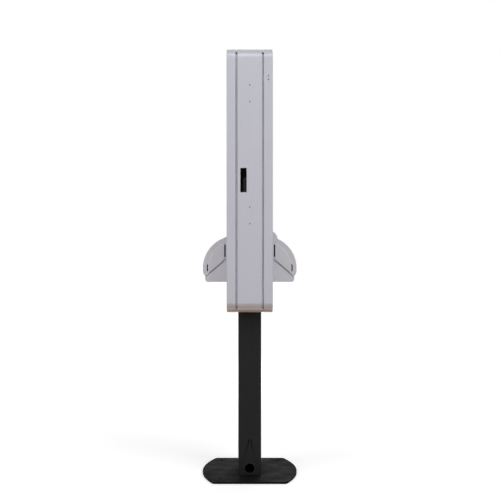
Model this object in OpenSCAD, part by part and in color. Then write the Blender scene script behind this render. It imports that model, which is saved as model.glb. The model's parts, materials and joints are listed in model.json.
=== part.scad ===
// Double-sided self-ordering kiosk on a post, with a screen door and a console on each side.
// Millimetres. Z is up, the origin is on the floor under the post, the front faces -Y.
// The rear side is the front side turned half a turn about Z.

/* [Body] */
// Width of the body, across a screen
body_w = 480; // [460:1:560]
// Height of the body
body_h = 1089; // [1040:1:1200]
// Height of the body's underside above the floor
body_bottom_z = 711; // [600:1:900]
// Radius of the body's four corners
body_corner_r = 45; // [30:1:60]
// Depth of the fixed centre band
band_d = 100; // [94:1:130]
// Thickness of the body's sheet metal
sheet_t = 3; // [2:0.5:4]
// Width of the open reveal between the band and each door
reveal_w = 8.2; // [7.6:0.1:11]
// Depth of the reveal, from the outer face to the collar
reveal_depth = 12; // [12:0.5:16]
// Width of the band's inner flange
flange_w = 24; // [22:0.5:28]
// Gap between a collar and the back of its door
collar_gap = 1; // [0.6:0.1:1.5]
// Height over which a reveal is closed at the body's top and at its underside
cap_h = 18; // [12:1:18]
// Depth of that cover below the body's surface
cap_depth = 1; // [0.5:0.5:4]

/* [Doors] */
// Depth of a door
door_d = 37; // [36:1:48]
// Width of the lip round a door's back
door_lip_w = 16; // [14:0.5:18]
// Thickness of that lip
door_lip_t = 2; // [1.5:0.5:3]
// Distance of the hinge axis from the door's side face
hinge_inset = 8; // [8:0.1:9]
// Distance of the hinge axis from the door's back
hinge_setback = 1.8; // [1.6:0.1:2.4]
// Radius of a hinge pin
pin_r = 2.5; // [2:0.1:2.6]
// Radial play of a door on its hinge pins
pin_play = 0.05; // [0.02:0.01:0.08]
// Radius of a hinge eye
eye_r = 4.5; // [4:0.1:4.6]
// Height of the fixed hinge arm
hinge_arm_h = 10; // [8:0.5:14]
// Height of each door lug
hinge_lug_h = 14; // [10:0.5:20]
// Distance of the hinges from the ends of the body
hinge_end = 123; // [100:1:160]
// Depth of a hinge lug, from the door's back
hinge_lug_d = 25; // [22:1:30]
// Distance between the hinge screws in a door's edge
hinge_screw_pitch = 15; // [12:0.5:20]
// Radius of the hinge screws in a door's edge
hinge_screw_r = 2.2; // [1.8:0.1:3]

/* [Screens] */
// Height of the touch glass
glass_h = 735; // [700:1:745]
// Thickness of the touch glass
glass_t = 4; // [3:0.5:5]
// Margin above the touch glass and at its sides
glass_margin = 20; // [16:1:24]
// Gap round the touch glass
glass_gap = 0.4; // [0.2:0.1:0.8]
// Width of the frame behind the glass
glass_frame_w = 8; // [6:0.5:9]
// Width of the ledge that the glass lies on
glass_ledge_w = 4; // [3:0.5:6]
// Distance of the display module's edges from the glass's edges
panel_inset = 5; // [4:0.5:12]
// Thickness of the display module
panel_t = 13; // [10:0.5:13]
// Width of the driver box on the module's back
driver_w = 260; // [200:1:300]
// Height of the driver box
driver_h = 180; // [120:1:240]
// Thickness of the driver box
driver_t = 12; // [8:0.5:12]

/* [Latches] */
// Width of the finger slot in the band
slot_w = 26; // [22:0.2:28]
// Height of the finger slot
slot_h = 100; // [90:1:110]
// Height of the slot's middle above the body's middle
slot_up = 2; // [0:0.5:24]
// Distance of the slot's middle from the band's middle
slot_y = 25.5; // [24:0.5:28]
// Width of the latch bar
bar_w = 34; // [32:1:36]
// Thickness of the latch bar
bar_t = 3; // [2:0.5:4]
// Length of the latch bar
bar_l = 660; // [560:1:760]
// Gap between the bar and the band's wall
bar_gap = 3; // [2:0.5:4]
// Width of the thumb piece
thumb_w = 14.4; // [12:0.2:16]
// Height of the thumb piece
thumb_h = 62.4; // [56:0.2:70]
// Depth of the thumb piece
thumb_d = 5.6; // [4:0.2:5.6]
// Size of the thumb piece's cut corner
thumb_cut = 8; // [4:0.5:10]
// Radius of a latch bolt
bolt_r = 4; // [3:0.5:5]
// Travel of the latch
latch_travel = 36; // [30:0.5:37]
// Distance of a latch bolt from the door's free edge
bolt_inset = 39; // [36:0.5:46]
// Distance of a latch bolt from the band's middle
bolt_y = 40; // [36:0.5:42]
// Thickness of a keeper
keeper_t = 4; // [3:0.5:5]

/* [Console] */
// Width of a console over its side panels
console_w = 220; // [214:1:240]
// Height of the console's underside above the body's underside
console_up = 122; // [90:1:130]
// Thickness of the console's walls
wall_t = 3; // [2:0.5:3.5]
// Reach of the tray from the door's face
tray_reach = 94; // [92:0.5:95]
// Radius of the tray's outer corner
tray_corner_r = 12; // [8:0.5:14]
// Radius of the hood
hood_r = 137.5; // [136:0.5:139]
// Distance of the hood's centre behind the door's face
hood_in = 33.5; // [33:0.5:35]
// Height of the hood's centre above the console's underside
hood_up = 57.5; // [55:0.5:59]
// Radius of the hood's nose
nose_r = 30.5; // [28:0.5:32]
// Angle below level where the nose starts
nose_angle = 6; // [4:0.5:8]
// Height of the seam at the door's face
seam_up = 99.5; // [98:0.5:101]
// Slope of the seam below level
seam_angle = 40.5; // [40:0.1:41]
// Width of the seam
seam_gap = 4; // [3:0.5:5]
// Gap between the hood and the door's face
hood_gap = 0.8; // [0.5:0.1:1]
// Distance of the tilt axis from the door's face
knuckle_out = 92; // [91:0.5:93]
// Height of the tilt axis above the console's underside
knuckle_up = 21.3; // [20.8:0.1:21.8]
// Radius of a tilt hinge knuckle
knuckle_r = 3.2; // [3:0.1:3.4]
// Radius of the tilt pin
tilt_pin_r = 1.5; // [1.2:0.1:1.6]
// Length of a tilt knuckle
knuckle_l = 24; // [16:1:28]
// Thickness of a raised side panel
side_panel_t = 4; // [2:0.5:5]
// Radius of a side panel
side_panel_r = 115.5; // [112:0.5:117]
// Distance of a side panel from the door's face
side_panel_in = 13; // [12:0.5:16]
// Width of the dark slots beside a side panel
side_slot_w = 6; // [4:0.5:6]
// Radius of the raised mouth over the rear receipt slot
mouth_r = 40; // [39:0.5:42]
// Height of the mouth's centre above the console's underside
mouth_up = 179; // [178:0.5:181]
// Distance of the mouth's centre behind the door's face
mouth_in = 16.5; // [15:0.5:17]

/* [Payment terminal] */
// Width of the payment terminal
pad_w = 82; // [80:1:86]
// Length of the payment terminal
pad_l = 130; // [124:1:132]
// Thickness of the payment terminal
pad_t = 28; // [22:0.5:28]
// Distance of the terminal's middle from the console's middle
pad_x = 47; // [46:0.5:48]
// Angle of the terminal's face above level
pad_elev = 34; // [33:0.5:35]
// Distance of the terminal's face from the hood's centre
pad_dist = 114.5; // [112:0.5:115]
// Gap round the terminal in its well
pad_gap = 1; // [0.6:0.1:1.4]
// Width of the terminal's screen
screen_w = 60; // [50:1:64]
// Height of the terminal's screen
screen_h = 36; // [30:1:38]
// Thickness of the terminal's screen
screen_t = 1.5; // [1:0.1:2]
// Width of a key
key_w = 16; // [14:0.5:17]
// Height of a key
key_h = 9.6; // [8:0.2:10]
// How far a key stands proud
key_proud = 1.8; // [1.4:0.1:2.4]
// Distance between the columns of keys
key_pitch_x = 21; // [20.5:0.5:22]
// Distance between the rows of keys
key_pitch_y = 13.6; // [13.2:0.2:14]
// Gap round a key in its hole
key_gap = 0.3; // [0.2:0.05:0.4]
// Travel of a key
key_travel = 1.2; // [0.8:0.1:1.4]
// Width of the card slot
card_w = 58; // [56:1:64]
// Height of the card slot
card_h = 2.4; // [1.6:0.2:3]

/* [Printer] */
// Width of the paper
paper_w = 80; // [76:1:82]
// Radius of the paper roll
roll_r = 30; // [24:1:31]
// Radius of the roll's spindle
spindle_r = 6; // [5:0.5:8]
// Play of the roll on its spindle
roll_play = 0.08; // [0.04:0.01:0.1]
// Distance of the roll's axis from the door's face
roll_out = 33; // [32:1:35]
// Height of the roll's axis above the console's underside
roll_up = 46; // [44:1:50]
// Distance of the printer's middle from the console's middle
printer_x = 53; // [52:0.5:54]
// Width of the opening for a receipt
receipt_w = 84; // [82:0.5:86]
// Depth of the opening for a receipt
receipt_d = 5.2; // [4.6:0.2:5.4]
// Distance of the receipt opening from the door's face
receipt_out = 9; // [9:0.2:9.6]

/* [Post and base] */
// Width of the post, across a screen
post_w = 200; // [180:1:240]
// Depth of the post
post_d = 98; // [90:1:99]
// Radius of the post's corners
post_corner_r = 6; // [4:0.5:10]
// Wall of the post
post_t = 3; // [2:0.5:4]
// Thickness of the plate at the post's foot
foot_t = 6; // [4:0.5:6]
// Thickness of the plate at the post's head
head_t = 8; // [6:0.5:12]
// Length of the plate at the post's head
head_w = 290; // [280:1:320]
// Length of the base plate, across a screen
base_l = 440; // [400:1:520]
// Width of the base plate at its middle
base_w = 409; // [380:1:460]
// Thickness of the base plate
base_t = 8; // [8:0.5:12]
// Radius of the base plate's bowed sides
base_bow_r = 490; // [440:1:600]
// Radius of the base plate's corners
base_corner_r = 14; // [8:1:24]
// Distance between the anchor holes along the base plate
anchor_x = 330; // [300:1:350]
// Distance between the anchor holes across the base plate
anchor_y = 250; // [220:1:270]
// Radius of an anchor hole
anchor_r = 5.5; // [4:0.5:7]
// Radius of the cable outlet
outlet_r = 21; // [16:0.5:21]
// Height of the cable outlet's middle above the floor
outlet_z = 36; // [36:0.5:60]

/* [Fasteners] */
// Radius of a band screw's head
screw_head_r = 3.2; // [2.6:0.1:4]
// Height of a band screw's head
screw_head_h = 1.6; // [1:0.1:2.4]
// Radius of a band screw's shank
screw_r = 2; // [1.5:0.1:2.5]
// Distance between the screws of a pair
screw_pitch = 68; // [50:1:80]
// Height of the upper pair above the body's underside
screw_high = 902; // [880:1:920]
// Height of the lower pair above the body's underside
screw_low = 402; // [380:1:420]
// Height of the post's screw above the floor
post_screw_z = 162; // [120:1:220]

/* [Equipment] */
// Thickness of the equipment plate
plate_t = 3; // [2:0.5:4]
// Distance of the equipment plate from the body's ends
plate_end = 56; // [50:1:70]
// Width of the computer
computer_w = 200; // [160:1:220]
// Height of the computer
computer_h = 190; // [160:1:220]
// Depth of the computer
computer_d = 40; // [30:1:42]
// Width of the power supply
supply_w = 110; // [90:1:140]
// Height of the power supply
supply_h = 215; // [180:1:240]
// Depth of the power supply
supply_d = 40; // [30:1:42]

/* [Hidden] */
$fn = 48;
SIDES = ["front", "rear"];
KEY_ROWS = 4;
KEY_COLS = 3;
KEYS = ["1", "2", "3", "4", "5", "6", "7", "8", "9", "cancel", "0", "enter"];
SIDE_PARTS = ["door", "glass", "display", "latch_bar", "console_tray", "console_hood", "side_panels",
    "terminal", "terminal_screen", "printer", "paper_roll", "receipt_bezel"];

// Overrun of every cut past the face that it opens
over = 1;
// Gap between two pieces that lie against each other but belong to different bodies
seat_gap = 0.3;

// Places of the body
door_back = band_d / 2 + reveal_w;
face = door_back + door_d;
body_top_z = body_bottom_z + body_h;
body_mid_z = body_bottom_z + body_h / 2;
glass_w = body_w - 2 * glass_margin;
glass_mid_z = body_top_z - glass_margin - glass_h / 2;
console_z = body_bottom_z + console_up;
half_w = body_w / 2;

// Places of the hinges and the latch
hinge_x = half_w - hinge_inset;
hinge_y = door_back + hinge_setback;
hinge_zs = [body_bottom_z + hinge_end, body_top_z - hinge_end];
hinge_gap = 0.3;
slot_z = body_mid_z + slot_up;
bar_x = half_w - sheet_t - bar_gap;
bolt_x = half_w - bolt_inset;
bolt_end = bar_l / 12;
bolt_zs = [slot_z - bar_l / 2 + bolt_end, slot_z + bar_l / 2 - 2 * bolt_end];
bolt_arm_t = 5;
bolt_arm_wall = 1;
bolt_rest_gap = 3;
bolt_h = latch_travel + bolt_rest_gap;
keeper_wall = 5;
keeper_w = 2 * (bolt_r + keeper_wall);
keeper_play = 0.5;
keeper_arm_w = 12;
keeper_arm_gap = 1.8;
keeper_front = door_back + door_lip_t + keeper_arm_gap + keeper_arm_w;
stud_r = 4;
stud_head_r = 7;
stud_head_t = 2;
stud_share = 0.26;
stud_zs = [slot_z - stud_share * bar_l, slot_z + stud_share * bar_l];
stud_play = 0.3;

// Places of the console, as distances out from the door's face and up from the underside
hood_c = [-hood_in, hood_up];
nose_c = hood_c + (hood_r - nose_r) * [cos(nose_angle), -sin(nose_angle)];
tilt_c = [knuckle_out, knuckle_up];
cheek_x = console_w / 2 - side_panel_t;
opening_w = console_w - 8 * wall_t;
opening_low = 4 * wall_t;
opening_high = seam_up + hood_r / 2 + opening_low;
knuckle_x = cheek_x - knuckle_l;
knuckle_play = 0.5;
tilt_play = 0.05;
seam_slope = tan(seam_angle);
cheek_slot_up = 18;
cheek_slot_l = 52;
cheek_slot_low_l = 29;
cheek_slot_low_w = 5;
// Lip of the tray behind the seam, inside the hood's side walls
seam_lip_t = 2.5;
seam_lip_gap = 0.8;
seam_lip_high = 5;
seam_lip_low = 8;

// Places on the terminal, in its own frame: x across, y up its face, z out of its face
pad_c = hood_c + pad_dist * [cos(pad_elev), sin(pad_elev)];
well_t = 2.5;
face_t = 2;
screen_end = 6;
screen_key_gap = 9;
screen_mid = pad_l / 2 - screen_h / 2 - screen_end;
keys_top = screen_mid - screen_h / 2 - screen_key_gap;
key_skirt = 1;
key_skirt_t = 1.2;
key_stem_w = 6;
key_stem_l = 2;
key_room = key_skirt_t + key_stem_l + key_travel + 2 * seat_gap;
keys_w = (KEY_COLS - 1) * key_pitch_x + key_w + 4 * key_skirt;
keys_h = (KEY_ROWS - 1) * key_pitch_y + key_h + 4 * key_skirt;
keys_mid = keys_top - (KEY_ROWS - 1) * key_pitch_y / 2;
card_end = 8;
card_y = -pad_l / 2 + card_end;
card_deep = 14;
wire_r = 8;

// Places of the printer
printer_side_t = 3;
printer_gap = 1;
printer_in = paper_w / 2 + printer_gap;
printer_out = printer_in + printer_side_t;
head_roll_gap = 8;
head_h = 70;
head_front = 12;
head_rear = 22;
head_low = roll_up + roll_r + head_roll_gap;
head_high = head_low + head_h;
head_out = receipt_out + head_front;
head_in = receipt_out - head_rear;
bezel_t = 2;
bezel_rim = 3.4;
bezel_wall = 1.2;
bezel_deep = 6;
bezel_gap = 0.2;

// Places of the post and its fasteners
post_top_z = body_bottom_z;
foot_gap = 5;
nut_r = 9;
nut_t = 8;
post_bolt_r = 5;
post_bolt_head_t = 6;
post_bolt_side = 19;
post_bolt_x = (post_w + head_w) / 4;
post_bolt_y = post_d / 2 - post_bolt_side;
base_screw_r = 4;
base_screw_head_r = 8;
base_screw_head_t = 4;
base_screw_end = 30;
base_screw_side = 19;
base_screw_reach = 4;
base_screw_x = post_w / 2 - base_screw_end;
base_screw_y = post_d / 2 - base_screw_side;
base_screw_l = base_t + foot_t + base_screw_reach;
thread_gap = 0.3;
duct_r = 30;
grommet_lip = 4;
grommet_lip_t = 2;
grommet_wall = 2;
plate_flange_w = 20;
plate_flange_y = 4;
plate_pass = 60;

// Gap round a receipt in the mouth's own slot
mouth_gap = 0.8;

shell_c = [0.72, 0.72, 0.755];
steel_c = [0.16, 0.16, 0.16];
zinc_c = [0.62, 0.63, 0.65];
dark_c = [0.18, 0.18, 0.2];

// Exact rounded rectangle round the origin
module rounded(w, h, r) {
    square([w - 2 * r, h], center = true);
    square([w, h - 2 * r], center = true);
    for (x = [-1, 1], y = [-1, 1]) translate([x * (w / 2 - r), y * (h / 2 - r)]) circle(r = r);
}

// Slab between two distances in front of the middle plane, from a shape drawn in X and Z
module facing(near, far, z = body_mid_z) {
    translate([0, -near, z]) rotate([90, 0, 0]) linear_extrude(far - near) children();
}

module body_shape(inset) {
    rounded(body_w - 2 * inset, body_h - 2 * inset, body_corner_r - inset);
}

module body_ring(outer, inner) {
    difference() {
        body_shape(outer);
        body_shape(inner);
    }
}

module glass_shape(grow) {
    rounded(glass_w + 2 * grow, glass_h + 2 * grow, body_corner_r - glass_margin + grow);
}

// Console pieces are drawn out from the door's face and up from the underside, between two x
module across(x0, x1) {
    translate([0, -face, console_z]) rotate([90, 0, -90]) translate([0, 0, -x1])
        linear_extrude(x1 - x0) children();
}

module on_pad() {
    translate([pad_x, -face - pad_c[0], console_z + pad_c[1]]) rotate([90 - pad_elev, 0, 0]) children();
}

module box(w, h, low, high) {
    translate([-w / 2, -h / 2, low]) cube([w, h, high - low]);
}

// Both sides of the body
module both_sides() {
    for (turn = [0, 180]) rotate([0, 0, turn]) children();
}

// Two straight ends and two bowed sides, with a rounding where they meet
module base_shape() {
    bow_y = base_w / 2 - base_bow_r;
    corner_x = base_l / 2 - base_corner_r;
    corner_y = bow_y + sqrt(pow(base_bow_r - base_corner_r, 2) - pow(corner_x, 2));
    touch_x = corner_x * base_bow_r / (base_bow_r - base_corner_r);
    intersection() {
        square([2 * touch_x, base_w + 2 * over], center = true);
        translate([0, bow_y]) circle(r = base_bow_r);
        translate([0, -bow_y]) circle(r = base_bow_r);
    }
    square([base_l, 2 * corner_y], center = true);
    for (x = [-1, 1], y = [-1, 1]) translate([x * corner_x, y * corner_y]) circle(r = base_corner_r);
}

module base_screw_places() {
    for (x = [-1, 1], y = [-1, 1]) translate([x * base_screw_x, y * base_screw_y]) children();
}

module base_plate() {
    color(steel_c) difference() {
        linear_extrude(base_t) base_shape();
        for (x = [-1, 1], y = [-1, 1]) translate([x * anchor_x / 2, y * anchor_y / 2, -over])
            cylinder(r = anchor_r, h = base_t + 2 * over);
        base_screw_places() translate([0, 0, -over]) {
            cylinder(r = base_screw_r + thread_gap, h = base_t + 2 * over);
            cylinder(r = base_screw_head_r + thread_gap, h = base_screw_head_t + over);
        }
    }
}

module base_screws() {
    base_screw_places() {
        translate([0, 0, seat_gap]) cylinder(r = base_screw_r, h = base_screw_l - seat_gap);
        translate([0, 0, seat_gap]) cylinder(r = base_screw_head_r, h = base_screw_head_t - seat_gap);
    }
}

module post_shape(inset) {
    rounded(post_w - 2 * inset, post_d - 2 * inset, post_corner_r - inset);
}

module post_bolt_places() {
    for (x = [-1, 1], y = [-1, 1]) translate([x * post_bolt_x, y * post_bolt_y]) children();
}

module post() {
    color(steel_c) difference() {
        translate([0, 0, base_t]) linear_extrude(post_top_z - head_t - base_t) difference() {
            post_shape(0);
            post_shape(post_t);
        }
        translate([post_w / 2 - post_t - over, 0, outlet_z]) rotate([0, 90, 0])
            cylinder(r = outlet_r + grommet_wall, h = post_t + 2 * over);
        for (s = [0, 180]) rotate([0, 0, s]) translate([post_w / 2 - post_t - over, 0, post_screw_z])
            rotate([0, 90, 0]) cylinder(r = screw_r + thread_gap, h = post_t + 2 * over);
    }
}

// Plate welded inside the post's foot, with a boss for each base screw
module post_foot() {
    color(steel_c) difference() {
        translate([0, 0, base_t]) {
            linear_extrude(foot_t)
                square([post_w - 2 * post_t - 2 * foot_gap, post_d - 2 * post_t], center = true);
            base_screw_places() cylinder(r = base_screw_head_r, h = foot_t + nut_t);
        }
        base_screw_places() cylinder(r = base_screw_r + thread_gap, h = base_screw_l + over);
    }
}

// Plate welded on the post's head, for the body to stand on
module post_head() {
    color(steel_c) translate([0, 0, post_top_z - head_t]) difference() {
        linear_extrude(head_t) rounded(head_w, post_d, post_corner_r);
        translate([0, 0, -over]) cylinder(r = duct_r, h = head_t + 2 * over);
        post_bolt_places() translate([0, 0, -over])
            cylinder(r = post_bolt_r + thread_gap, h = head_t + 2 * over);
    }
}

module cable_grommet() {
    lip_r = outlet_r + grommet_wall + grommet_lip / 2;
    color("#101010") translate([post_w / 2 - post_t, 0, outlet_z]) rotate([0, 90, 0]) difference() {
        union() {
            cylinder(r = outlet_r + grommet_wall, h = post_t);
            translate([0, 0, -grommet_lip_t]) cylinder(r = lip_r, h = grommet_lip_t);
            translate([0, 0, post_t]) cylinder(r = lip_r, h = grommet_lip_t);
        }
        translate([0, 0, -grommet_lip_t - over])
            cylinder(r = outlet_r, h = post_t + 2 * grommet_lip_t + 2 * over);
    }
}

// Hexagon bolt with its nut, through the post's head plate and the body's floor
module post_bolts() {
    post_bolt_places() {
        low = post_top_z - head_t - nut_t;
        translate([0, 0, low]) cylinder(r = nut_r, h = nut_t, $fn = 6);
        translate([0, 0, low]) cylinder(r = post_bolt_r, h = nut_t + head_t + sheet_t + post_bolt_head_t);
        translate([0, 0, post_top_z + sheet_t]) cylinder(r = nut_r, h = post_bolt_head_t, $fn = 6);
    }
}

// Places of the screws in the band's two side faces, pointing out along x
module side_screw_places() {
    for (turn = [0, 180]) rotate([0, 0, turn]) for (up = [screw_high, screw_low], s = [-1, 1])
        translate([half_w, 0, body_bottom_z + up + s * screw_pitch / 2]) rotate([0, 90, 0]) children();
}

module side_screw(grip) {
    cylinder(r = screw_head_r, h = screw_head_h);
    translate([0, 0, -grip]) cylinder(r = screw_r, h = grip + screw_head_h / 2);
}

module side_screws() {
    side_screw_places() side_screw(2 * sheet_t + plate_t);
    for (turn = [0, 180]) rotate([0, 0, turn]) translate([post_w / 2, 0, post_screw_z])
        rotate([0, 90, 0]) side_screw(post_t + screw_r);
}

module fasteners() {
    color(zinc_c) {
        base_screws();
        post_bolts();
        side_screws();
    }
}

module guide_stud() {
    wall = half_w - sheet_t;
    head = bar_x - bar_t - seat_gap;
    translate([wall, 0, 0]) rotate([0, -90, 0]) {
        translate([0, 0, -sheet_t / 2]) cylinder(r = stud_r, h = wall - head + sheet_t / 2);
        translate([0, 0, -sheet_t / 2]) cylinder(r = stud_head_r, h = bar_gap - seat_gap + sheet_t / 2);
        translate([0, 0, wall - head]) cylinder(r = stud_head_r, h = stud_head_t);
    }
}

// Covers that close a reveal at the body's top and at its underside
module reveal_caps() {
    facing(band_d / 2 - sheet_t / 2, door_back - collar_gap) intersection() {
        body_ring(cap_depth, reveal_depth + sheet_t / 2);
        for (s = [-1, 1]) translate([0, s * (body_h - cap_h) / 2])
            square([2 * (hinge_x - eye_r), cap_h], center = true);
    }
}

module chassis_frame() {
    color(shell_c) difference() {
        union() {
            facing(-band_d / 2, band_d / 2) body_ring(0, sheet_t);
            for (turn = [0, 180]) rotate([0, 0, turn]) {
                reveal_caps();
                facing(band_d / 2 - sheet_t, band_d / 2) body_ring(sheet_t / 2, flange_w);
                facing(band_d / 2 - sheet_t / 2, door_back - collar_gap)
                    body_ring(reveal_depth, reveal_depth + sheet_t);
                for (z = stud_zs) translate([0, -slot_y, z]) guide_stud();
            }
        }
        both_sides() {
            translate([half_w - sheet_t - over, -slot_y - slot_w / 2, slot_z - slot_h / 2])
                cube([sheet_t + 2 * over, slot_w, slot_h]);
        }
        side_screw_places() translate([0, 0, -sheet_t - over])
            cylinder(r = screw_r + thread_gap, h = sheet_t + 2 * over);
        post_bolt_places() translate([0, 0, body_bottom_z - over])
            cylinder(r = post_bolt_r + thread_gap, h = sheet_t + 2 * over);
        translate([0, 0, body_bottom_z - over]) cylinder(r = duct_r, h = sheet_t + 2 * over);
    }
}

// Arm of one door hinge, with its fixed pin. It is drawn round the hinge axis.
module hinge_bracket() {
    leg_x = flange_w - hinge_inset;
    wall_x = reveal_depth + sheet_t - hinge_inset;
    arm_in = reveal_w + hinge_setback;
    top = hinge_setback + collar_gap - seat_gap;
    pad_h = 6 * hinge_arm_h;
    linear_extrude(hinge_arm_h, center = true) {
        circle(r = eye_r);
        translate([0, -eye_r + seat_gap]) square([leg_x, top + eye_r - seat_gap]);
        translate([wall_x, -eye_r + seat_gap]) square([leg_x - wall_x, arm_in + eye_r - seat_gap]);
    }
    translate([wall_x, arm_in - sheet_t, -pad_h / 2]) cube([leg_x - wall_x, sheet_t, pad_h]);
    cylinder(r = pin_r, h = hinge_arm_h + 2 * hinge_gap + 2 * hinge_lug_h, center = true);
}

module hinge_brackets() {
    color(zinc_c) both_sides() for (z = hinge_zs) translate([-hinge_x, -hinge_y, z]) hinge_bracket();
}

module equipment_plate() {
    span = half_w - sheet_t;
    height = body_h - 2 * plate_end;
    flange_y = plate_flange_w - plate_flange_y - plate_t / 2;
    color(zinc_c) difference() {
        translate([0, 0, body_mid_z]) union() {
            cube([2 * span, plate_t, height], center = true);
            for (turn = [0, 180]) rotate([0, 0, turn])
                translate([span - sheet_t, flange_y - plate_flange_w, -height / 2])
                    cube([sheet_t, plate_flange_w, height]);
        }
        side_screw_places() translate([0, 0, -2 * sheet_t - plate_t - over])
            cylinder(r = screw_r + thread_gap, h = sheet_t + plate_t + 2 * over);
        translate([-plate_pass, -plate_t, body_bottom_z + plate_end + plate_pass / 2])
            cube([2 * plate_pass, 2 * plate_t, plate_pass]);
    }
}

module computer() {
    z = body_mid_z + body_h / 5;
    vents = 8;
    pitch = computer_w / (vents + 2);
    color(dark_c) difference() {
        translate([-computer_w / 2, -plate_t / 2 - computer_d, z - computer_h / 2])
            cube([computer_w, computer_d, computer_h]);
        for (i = [0 : vents - 1])
            translate([(i - (vents - 1) / 2) * pitch - pitch / 4, -plate_t / 2 - computer_d - over,
                z - computer_h / 3])
                cube([pitch / 2, sheet_t + over, 2 * computer_h / 3]);
    }
}

module power_supply() {
    z = body_mid_z - body_h / 5;
    fan_r = supply_w / 4;
    color(zinc_c) difference() {
        translate([-supply_w / 2, plate_t / 2, z - supply_h / 2]) cube([supply_w, supply_d, supply_h]);
        translate([0, plate_t / 2 + supply_d + over, z]) rotate([90, 0, 0]) difference() {
            cylinder(r = fan_r, h = sheet_t + over);
            cylinder(r = fan_r / 3, h = sheet_t + over);
        }
    }
}

// Two lugs above and below a hinge arm, and the gap for the arm in the door's lip
module door_lugs() {
    inner = hinge_inset - sheet_t / 2;
    for (s = [-1, 1]) translate([0, 0, s * (hinge_arm_h / 2 + hinge_gap + hinge_lug_h / 2)])
        linear_extrude(hinge_lug_h, center = true) {
            circle(r = eye_r);
            translate([-inner, -hinge_lug_d]) square([inner + eye_r, hinge_lug_d - hinge_setback]);
            translate([-inner, -hinge_lug_d]) square([inner, hinge_lug_d]);
        }
}

// Plate from the door's free edge to a latch bolt, with the bolt's eye
module door_keeper() {
    half = keeper_w / 2;
    difference() {
        translate([bolt_x - half, -keeper_front, -keeper_t / 2]) {
            cube([keeper_w, keeper_front - bolt_y + half, keeper_t]);
            cube([half_w - sheet_t / 2 - bolt_x + half, keeper_arm_w, keeper_t]);
        }
        translate([bolt_x, -bolt_y, -keeper_t]) cylinder(r = bolt_r + keeper_play, h = 2 * keeper_t);
    }
}

module door() {
    window_grow = -glass_ledge_w;
    color(shell_c) difference() {
        union() {
            difference() {
                facing(door_back, face) body_shape(0);
                facing(door_back + door_lip_t, face - sheet_t) body_shape(sheet_t);
                facing(door_back - over, door_back + door_lip_t + over) body_shape(door_lip_w);
            }
            facing(face - glass_t - sheet_t, face - sheet_t / 2, glass_mid_z) glass_shape(glass_frame_w);
            for (z = hinge_zs) translate([-hinge_x, -hinge_y, z]) door_lugs();
            for (z = bolt_zs) translate([0, 0, z + bolt_h + bolt_rest_gap + keeper_t / 2]) door_keeper();
            for (s = [-1, 1]) translate([-half_w, -face + door_d / 2, hinge_zs[1]
                    + s * hinge_screw_pitch / 2])
                rotate([0, -90, 0]) translate([0, 0, -sheet_t / 2])
                    cylinder(r = hinge_screw_r, h = sheet_t / 2 + screw_head_h / 2);
        }
        facing(face - glass_t, face + over, glass_mid_z) glass_shape(glass_gap);
        facing(face - glass_t - sheet_t - over, face + over, glass_mid_z) glass_shape(window_grow);
        for (z = hinge_zs) translate([-hinge_x, -hinge_y, z]) {
            cylinder(r = pin_r + pin_play, h = hinge_arm_h + 2 * hinge_gap + 2 * hinge_lug_h + 2 * over,
                center = true);
            translate([-hinge_inset + sheet_t, -eye_r - hinge_gap, -hinge_arm_h / 2 - hinge_gap])
                cube([door_lip_w, eye_r + 2 * hinge_setback + hinge_gap, hinge_arm_h + 2 * hinge_gap]);
        }
        translate([-opening_w / 2, -face - over, console_z + opening_low])
            cube([opening_w, sheet_t + 2 * over, opening_high - opening_low]);
    }
}

module glass() {
    color([0.03, 0.03, 0.035]) facing(face - glass_t, face, glass_mid_z) glass_shape(0);
}

module display() {
    front = face - glass_t - sheet_t;
    back = front - panel_t;
    color(zinc_c) {
        facing(back, front, glass_mid_z)
            square([glass_w - 2 * panel_inset, glass_h - 2 * panel_inset], center = true);
        facing(back - driver_t, back, glass_mid_z) square([driver_w, driver_h], center = true);
    }
}

// One latch bolt on its arm, drawn round the bolt's axis from the arm's underside
module latch_bolt() {
    arm_w = 2 * (bolt_r + bolt_arm_wall);
    translate([-arm_w / 2, -arm_w / 2, -bolt_arm_t])
        cube([bar_x - bolt_x + arm_w / 2 - bar_t / 2, arm_w, bolt_arm_t]);
    translate([0, 0, -bolt_arm_t]) cylinder(r = bolt_r, h = bolt_h + bolt_arm_t);
}

module latch_bar() {
    slot_l = latch_travel + 2 * stud_r + 2 * stud_play;
    low = slot_z - slot_h / 2 + seat_gap;
    thumb_y = -slot_y + slot_w / 2 - seat_gap;
    color(dark_c) {
        difference() {
            translate([bar_x - bar_t, -slot_y - bar_w / 2, slot_z - bar_l / 2]) cube([bar_t, bar_w, bar_l]);
            for (z = stud_zs) translate([bar_x - bar_t - over, -slot_y, z]) rotate([0, 90, 0])
                linear_extrude(bar_t + 2 * over) {
                    circle(r = stud_r + stud_play);
                    translate([0, -stud_r - stud_play]) square([latch_travel, 2 * stud_r + 2 * stud_play]);
                    translate([latch_travel, 0]) circle(r = stud_r + stud_play);
                }
        }
        for (z = bolt_zs) translate([bolt_x, -bolt_y, z]) latch_bolt();
        translate([bar_x - bar_t / 2, thumb_y, low]) rotate([90, 0, 90])
            linear_extrude(thumb_d + bar_t / 2)
                polygon([[-thumb_w, 0], [0, 0], [0, thumb_h], [-thumb_w + thumb_cut, thumb_h],
                    [-thumb_w, thumb_h - thumb_cut]]);
    }
}

function seam_at(out) = seam_up - seam_slope * out;

function arc_up(r, out) = hood_up + sqrt(pow(r, 2) - pow(out + hood_in, 2));

module seam_half(rise, out, high) {
    polygon([[out, seam_at(out) + rise], [2 * tray_reach, seam_at(2 * tray_reach) + rise],
        [2 * tray_reach, high], [out, high]]);
}

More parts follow.
